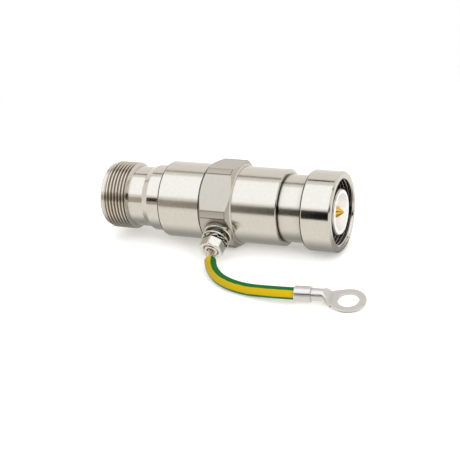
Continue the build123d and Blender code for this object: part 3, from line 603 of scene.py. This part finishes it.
wire = {
    "route": [
        (49.75, -21.8856, -10.6743), (49.75, -25.5707, -12.4717), (52.6, -31.9031, -15.0426),
        (56.2, -37.7031, -15.1426), (61.6, -44.1031, -15.1426), (68.6, -48.7031, -15.1426),
        (76.5, -51.3031, -15.1426), (86.1, -53.6031, -13.9426), (95.80703, -53.7215, -13.5426),
        (106.03458, -52.50194, -13.5426),
    ],
    "step": 0.4,                 # between the rows of the tubes
    "radius": 2.4,
    "sides": 64,
    "endDraw": 0.25,             # how far the cut edge of the insulation is drawn in
    "bareAtStud": 8.6,           # from the foot of the stud's bore to the edge of the insulation
    "bareInLug": 3.0,
    "strands": 9,
    "strandRadius": 0.46,
    "strandRing": 1.16,
    "strandPitch": 26.0,
    "strandSides": 10,
    # distances along the wire, and the angle round it at which the middle of the yellow lies there
    "yellowTurn": [(0, 14), (6, 16), (12, 36), (20, 55), (30, 66), (45, 74), (73, 73)],
}

curve = bpy.data.curves.new("wireRoute", "CURVE")
curve.dimensions = "3D"
spline = curve.splines.new("NURBS")
spline.points.add(len(wire["route"]) - 1)
for point, place in zip(spline.points, wire["route"]):
    point.co = (*(Vector(place) * mm), 1.0)
spline.order_u = 3
spline.use_endpoint_u = True
spline.resolution_u = 24
routeObject = bpy.data.objects.new("wireRoute", curve)
scene.collection.objects.link(routeObject)
bpy.context.view_layer.update()
depsgraph = bpy.context.evaluated_depsgraph_get()
routeMesh = bpy.data.meshes.new_from_object(routeObject.evaluated_get(depsgraph))
routePoints = np.array([vertex.co for vertex in routeMesh.vertices]) / mm
bpy.data.objects.remove(routeObject)
routeDistance = np.concatenate([[0], np.cumsum(np.linalg.norm(np.diff(routePoints, axis=0), axis=1))])
routeLength = routeDistance[-1]
print("wire route", round(routeLength, 1), "mm")


# points of the route between two distances along it, evenly spaced
def routePart(start, end):
    at = np.linspace(start, end, max(3, int((end - start) / wire["step"]) + 1))
    return at, np.stack([np.interp(at, routeDistance, routePoints[:, k]) for k in range(3)], axis=1)


# insulation, with the angle from the middle of the yellow at each point
insulatedAt, insulatedPath = routePart(wire["bareAtStud"], routeLength - wire["bareInLug"])
radius = np.full(len(insulatedAt), wire["radius"])
radius[[0, -1]] -= wire["endDraw"]
insulationMesh = gridMesh("wireInsulation", tubeGrid(insulatedPath, radius, wire["sides"]))
yellowAt = np.interp(insulatedAt, *np.array(wire["yellowTurn"], float).T)
turn = np.linspace(0, 360, wire["sides"], endpoint=False)
offset = (turn[None, :] - yellowAt[:, None] + 180) % 360 - 180
stripe = insulationMesh.attributes.new("stripe", "FLOAT", "POINT")
stripe.data.foreach_set("value", (np.abs(offset) / 180).astype(np.float32).ravel())

# bare copper strands: each follows the route on a helix round it, and a last one runs down the middle
at, path = routePart(0, routeLength)
_, side, over = pathFrame(path)
start = np.arange(wire["strands"])[:, None] / wire["strands"]
twist = 2 * np.pi * (start + at[None, :] / wire["strandPitch"])[..., None]
strandPaths = path + wire["strandRing"] * (np.cos(twist) * over + np.sin(twist) * side)
strandPaths = np.concatenate([strandPaths, path[None]])
strandRadii = np.full(strandPaths.shape[:2], wire["strandRadius"])
strandRadii[-1] = wire["strandRing"] - wire["strandRadius"]
strandGrids = tubeGrid(strandPaths, strandRadii, wire["strandSides"])
strandsMesh = joined("wireStrands", [gridMesh("strand", grid) for grid in strandGrids])

# metal doesn't mirror the wire, whose colours would run as thin lines along the whole tube and nut
strands = addPiece(strandsMesh, "wire_core")
insulation = addPiece(insulationMesh, "wire_insulation")
for piece in (strands, insulation):
    piece.visible_glossy = False
print("wire made")


# Ring lug of copper sheet: rolled grip and barrel, flare and ring. Its own frame has its way along the
# barrel, then the level side that points away from the viewer, tipped with the ring, and the ring's normal.
lug = {
    "start": (96.8, -53.6031, -13.5426),
    "heading": 6.8,
    "tilt": 14.0,
    "gripStart": 0.6,
    "gripLength": 6.6,
    "gripRadii": (3.12, 2.53),   # outside and at the bore, as the two below
    "gripSteps": (120, 60),
    "seamWidths": (0.34, 0.0152),
    "seamAt": 144.0,             # angle of the seam round the barrel
    "edgeDraw": 0.3,             # how far the grip's outer face is drawn in at either end ...
    "edgeReach": 0.35,           # ... and how far from the end that begins
    "edgeRows": [0, 0.04, 0.14, 0.32, 0.6],
    "stations": [6.4, 7.5, 9.3, 11.35, 12.65, 14.75],   # along the barrel, into the flare
    "halfWidths": [2.5, 2.5, 2.5, 2.5, 3.45, 4.7],
    "halfHeights": [2.5, 2.5, 2.5, 2.5, 2.15, 0.5],
    "lifts": [0, 0, 0, 0, -0.3, -2.0],
    "shifts": [0, 0, 0, 0, 0.4, 0],
    "reach": 21.2,               # from the start to the middle of the hole
    "ringRadius": 6.8,
    "holeRadius": 4.1,
    "tongueNear": (11.35, -1.6),
    "tongueFar": (13.75, 5.0),
    "bottom": -2.5,
    "sheet": 1.0,
    "sheetSoften": 0.3,
}
heading, tilt = math.radians(lug["heading"]), math.radians(lug["tilt"])
lugForward = np.array([math.cos(heading), math.sin(heading), 0.0])
lugNormal = np.array([0.0, 0.0, math.cos(tilt)]) \
    + math.sin(tilt) * np.array([math.sin(heading), -math.cos(heading), 0.0])
lugSide = np.cross(lugNormal, lugForward)


# points of the lug from their places along, aside and up in its own frame
def lugPoints(along, aside, up):
    return np.array(lug["start"]) + along[..., None] * lugForward + aside[..., None] * lugSide \
        + up[..., None] * lugNormal


# The grip is an outline of two arcs, outer and inner, carried along the barrel. The seam lies between their
# ends, which almost meet at the bore. Close to either end the outer arc is drawn in, by the square of the
# share of the reach that is left, which rounds the edge.
def gripGrid():
    outerHalf, innerHalf = (math.asin(width / 2 / radius)
                            for width, radius in zip(lug["seamWidths"], lug["gripRadii"]))
    outerSteps, innerSteps = lug["gripSteps"]
    seam = math.radians(lug["seamAt"])
    outer = np.linspace(seam + outerHalf, seam + 2 * np.pi - outerHalf, outerSteps)
    inner = np.linspace(seam + 2 * np.pi - innerHalf, seam + innerHalf, innerSteps)
    turn = np.concatenate([outer, inner])
    edgeRows = np.array(lug["edgeRows"])
    fromEnd = np.concatenate([edgeRows, [lug["gripLength"] / 2], edgeRows[::-1]])
    pastMiddle = np.arange(len(fromEnd)) > len(edgeRows)
    along = lug["gripStart"] + np.where(pastMiddle, lug["gripLength"] - fromEnd, fromEnd)
    draw = lug["edgeDraw"] * np.clip(1 - fromEnd / lug["edgeReach"], 0, 1) ** 2
    isOuter = np.arange(len(turn)) < outerSteps
    radius = np.repeat(lug["gripRadii"], lug["gripSteps"])[None, :] - draw[:, None] * isOuter
    return lugPoints(along[:, None], radius * np.cos(turn), radius * np.sin(turn))


# A curve through given values: between two stations a cubic, whose slopes are those of the neighbours, and
# level beside a stretch of equal values.
def through(at, stations, values):
    stations, values = np.array(stations, float), np.array(values, float)
    slopes = np.gradient(values, stations)
    level = np.isclose(np.diff(values), 0)
    slopes[np.append(level, False) | np.append(False, level)] = 0
    k = np.clip(np.searchsorted(stations, at) - 1, 0, len(stations) - 2)
    width = stations[k + 1] - stations[k]
    t = (at - stations[k]) / width
    return (2 * t ** 3 - 3 * t ** 2 + 1) * values[k] + (t ** 3 - 2 * t ** 2 + t) * width * slopes[k] \
        + (3 * t ** 2 - 2 * t ** 3) * values[k + 1] + (t ** 3 - t ** 2) * width * slopes[k + 1]


# The barrel and flare: an ellipse at each place along, whose half width, half height, lift and shift are
# smooth curves through the lug's stations
def barrelGrid(rows=56, sides=96):
    along = np.linspace(lug["stations"][0], lug["stations"][-1], rows)
    wide, high, lift, shift = (through(along, lug["stations"], lug[key])[:, None]
                               for key in ("halfWidths", "halfHeights", "lifts", "shifts"))
    turn = np.linspace(0, 2 * np.pi, sides, endpoint=False)[None, :]
    return lugPoints(along[:, None], shift + wide * np.cos(turn), lift + high * np.sin(turn))


# The ring and tongue: a flat sheet round the hole. Its edge is the ring's circle, and towards the barrel the
# two tangents from the tongue's corners and the line between them: the nearest of the three at each turn.
# Each is as far as its own distance over the cosine of the turn from its middle. A high power softens the
# corners between them.
def ringGrid(sides=240, power=24):
    centre = np.array([lug["reach"], 0.0])
    lines = []
    for corner, way in ((lug["tongueNear"], 1), (lug["tongueFar"], -1)):
        toCorner = np.array(corner) - centre
        lean = math.acos(lug["ringRadius"] / np.linalg.norm(toCorner))
        lines.append((math.atan2(toCorner[1], toCorner[0]) + way * lean, lug["ringRadius"]))
    edge = np.array(lug["tongueFar"]) - np.array(lug["tongueNear"])
    square = np.array([-edge[1], edge[0]]) / np.linalg.norm(edge)
    lines.append((math.atan2(square[1], square[0]), square @ (np.array(lug["tongueNear"]) - centre)))
    turn = np.linspace(0, 2 * np.pi, sides, endpoint=False)
    closeness = [(np.maximum(np.cos(turn - angle), 1e-3) / away) ** power for angle, away in lines]
    inverse = sum(closeness) ** (1 / power)
    (first, _), (second, _) = lines[:2]
    towardsBarrel = (turn - second) % (2 * np.pi) < (first - second) % (2 * np.pi)
    reach = np.where(towardsBarrel, np.maximum(1 / inverse, lug["ringRadius"]), lug["ringRadius"])
    width = lug["ringRadius"] - lug["holeRadius"]
    top = lug["bottom"] + lug["sheet"]
    section = softOutline([(lug["bottom"], width), (top, width), (top, 0), (lug["bottom"], 0)],
                          lug["sheetSoften"])
    height, across = section[:, :1], section[:, 1:]
    radius = np.where(across > width / 2, reach[None, :] - (width - across), lug["holeRadius"] + across)
    return lugPoints(lug["reach"] + radius * np.cos(turn), radius * np.sin(turn), height)


lugMeshes = [gridMesh("grip", gripGrid()), gridMesh("barrel", barrelGrid()),
             gridMesh("ring", ringGrid(), closeRows=True)]
ringLug = addPiece(joined("ringLug", lugMeshes), "ring_lug")
print("ring lug made")


# Ground stack along the stud. Here and below, an outline is its corners, (place along, radius), and the
# length by which they are softened. Refined are the sides that get extra points, between two places and two
# radii and at a step, so that a shape can bend them. The stack's places are distances from the line's axis.
stack = {
    "cap": ([(10.0, 0.6), (10.0, 4.95), (17.0, 4.95), (17.0, 6.1), (18.9, 6.1), (19.3, 5.7), (19.3, 4.2),
             (21.25, 4.2), (21.25, 3.05), (14.1, 3.05), (14.1, 0.6)], 0.12),
    "stud": ([(14.5, 0.3), (14.5, 3.0), (27.35, 3.0), (27.75, 2.6), (27.75, 1.75), (20.75, 1.75),
              (20.75, 0.3)], 0.1),
    "washer": ([(21.25, 3.2), (21.25, 5.8), (22.05, 5.8), (22.05, 3.2)], 0.15),
    "lockWasher": ([(22.35, 3.2), (22.35, 5.5), (22.95, 5.5), (22.95, 3.2)], 0.1),
    "lockRefined": ((20, 25), (3.3, 5.4), 0.2),
    "lockRing": 4.85,            # radius at which the teeth begin
    "teeth": 10,
    "toothMiddle": 4.9,          # radius at which a tooth is measured
    "toothWidth": 1.7,
    "toothEdge": 0.12,           # over which it ends to either side
    "toothTwist": 20.0,
    "twistFrom": 3.9,            # radius at which the twist begins ...
    "twistOver": 0.7,            # ... and over how much more it is all there
    "nut": ([(23.25, 3.05), (23.25, 4.5), (23.6, 5.2), (27.4, 5.2), (27.85, 4.4), (27.85, 3.7),
             (27.2, 3.05)], 0.12),
    "nutRefined": ((23, 28), (4.3, 5.3), 0.25),
    "nutFlat": 4.6,              # from the axis to a flat
}


# The nut: at each turn the radius is the smaller of the turned outline and the distance to the nearest flat,
# which is the flat's own distance over the cosine of the angle from its middle. A high power softens the
# corner between the two.
def nutRadius(along, radius, turn, power=60.0):
    fromFlat = (turn + np.pi / 6) % (np.pi / 3) - np.pi / 6
    flat = stack["nutFlat"] / np.cos(fromFlat)
    return along, (radius ** -power + flat ** -power) ** (-1 / power)


# The lock washer: outside its ring the sheet stands only within the teeth, and there it lifts with the
# distance round from the tooth's middle, times the tangent of the twist.
def toothedSheet(along, radius, turn):
    pitch = 2 * np.pi / stack["teeth"]
    aside = ((turn / pitch + 0.5) % 1 - 0.5) * pitch * stack["toothMiddle"]
    tooth = np.clip((stack["toothWidth"] / 2 - np.abs(aside)) / stack["toothEdge"] + 0.5, 0, 1)
    beyond = np.clip(radius - stack["lockRing"], 0, None)
    twisted = np.clip((radius - stack["twistFrom"]) / stack["twistOver"], 0, 1)
    lift = aside * math.tan(math.radians(stack["toothTwist"])) * tooth * twisted
    return along + lift, np.minimum(radius, stack["lockRing"]) + beyond * tooth


lockOutline = refined(softOutline(*stack["lockWasher"]), *stack["lockRefined"])
nutOutline = refined(softOutline(*stack["nut"]), *stack["nutRefined"])
for name, node, outline, segments, shape in (
        ("gasTubeCap", "gas_tube_cap", softOutline(*stack["cap"]), 160, None),
        ("groundStud", "ground_stud", softOutline(*stack["stud"]), 128, None),
        ("plainWasher", "plain_washer", softOutline(*stack["washer"]), 160, None),
        ("lockWasher", "lock_washer", lockOutline, 480, toothedSheet),
        ("groundNut", "ground_nut", nutOutline, 288, nutRadius)):
    addPiece(turned(name, outline, segments, shape, studFrame), node)
print("ground stack made")


thread = {
    "pitch": 1.5,
    "crestShare": 0.23,          # flat at the crest, of one pitch
    "rootShare": 0.16,
    "facing": 157.0,             # the turn at which a root lies half a pitch from X = 0
    "segments": 256,
}


# How deep a V thread is at a place along X and a turn round it, from 0 at the crest to 1 at the root: the
# phase is the place over the pitch less the turn over a full circle, so the crest climbs one pitch each turn.
# Flat crest, straight flanks, flat root, and the depth fades out over the last of its length at either end.
def threadShare(along, turn, start, end, fade):
    phase = (along / thread["pitch"] - (turn - math.radians(thread["facing"])) / (2 * np.pi)) % 1
    fromRoot = np.abs(phase - 0.5) * 2
    flank = 1 - thread["crestShare"] - thread["rootShare"]
    shape = np.clip((1 - fromRoot - thread["crestShare"]) / flank, 0, 1)
    return shape * np.clip((along - start) / fade, 0, 1) * np.clip((end - along) / fade, 0, 1)


femaleShell = {
    "outline": ([
        (-6.6, 10.3), (-6.6, 13.0), (-6.0, 13.6), (-4.7, 13.6), (-3.95, 14.45), (5.75, 14.45), (6.7, 12.85),
        (13.2, 12.85), (16.0, 14.05), (22.1, 14.05), (22.1, 14.0), (33.4, 14.0), (33.4, 8.0), (9.9, 8.0),
        (9.9, 8.6), (3.9, 8.6), (3.9, 8.0), (1.9, 8.0), (1.9, 9.9), (-6.2, 9.9),
    ], 0.15),
    "refined": ((-4.8, 6.1), (13.55, 15), 0.07),
    "threaded": (-5.0, 5.8, 0.3),    # from, to, and the length over which either end fades
    "root": 13.62,
}


def outerThread(along, radius, turn):
    share = threadShare(along, turn, *femaleShell["threaded"])
    return along, radius - share * np.clip(radius - femaleShell["root"], 0, None)


outline = refined(softOutline(*femaleShell["outline"]), *femaleShell["refined"])
addPiece(turned("femaleShell", outline, thread["segments"], outerThread), "female_shell")

couplingNut = {
    "outline": ([
        (86.05, 11.56), (86.05, 16.4), (86.85, 16.8), (98.4, 16.8), (99.1, 16.1), (99.1, 14.25),
        (98.65, 13.7), (92.15, 13.7), (91.25, 14.6), (88.25, 14.6), (88.25, 11.56),
    ], 0.12),
    "refined": ((92.2, 98.6), (13.5, 13.9), 0.07),
    "threaded": (91.8, 99.0, 0.7),
    "boreUnder": 14.0,               # the wall of the threaded bore is what lies under this radius
    "depth": 0.75,
}


def innerThread(along, radius, turn):
    share = threadShare(along, turn, *couplingNut["threaded"])
    return along, radius + couplingNut["depth"] * share * (radius < couplingNut["boreUnder"])


outline = refined(softOutline(*couplingNut["outline"]), *couplingNut["refined"])
addPiece(turned("couplingNut", outline, thread["segments"], innerThread), "coupling_nut", body="nut")
print("threads cut")

# In the nut's mouth: the insulator's cup, whose rim laps over the end of the contact tube, and the pin
malePort = {
    "cup": ([(84.4, 3.55), (84.4, 7.95), (90.4, 7.95), (90.4, 8.65), (98.22, 8.65), (98.22, 9.3),
             (98.55, 9.15), (98.55, 7.7), (92.6, 6.4), (92.6, 3.55)], 0.1),
    "pin": ([(81.5, 1.45), (81.5, 3.5), (92.5, 3.5), (92.5, 2.5), (96.75, 2.5), (99.4, 0.4), (99.4, 0.1),
             (85.7, 0.1), (85.7, 1.45)], 0.12),
}
for name, node, outline, segments in (("maleInsulator", "male_insulator", malePort["cup"], 192),
                                      ("malePin", "male_pin", malePort["pin"], 96)):
    addPiece(turned(name, softOutline(*outline), segments), node)
print("male port made")
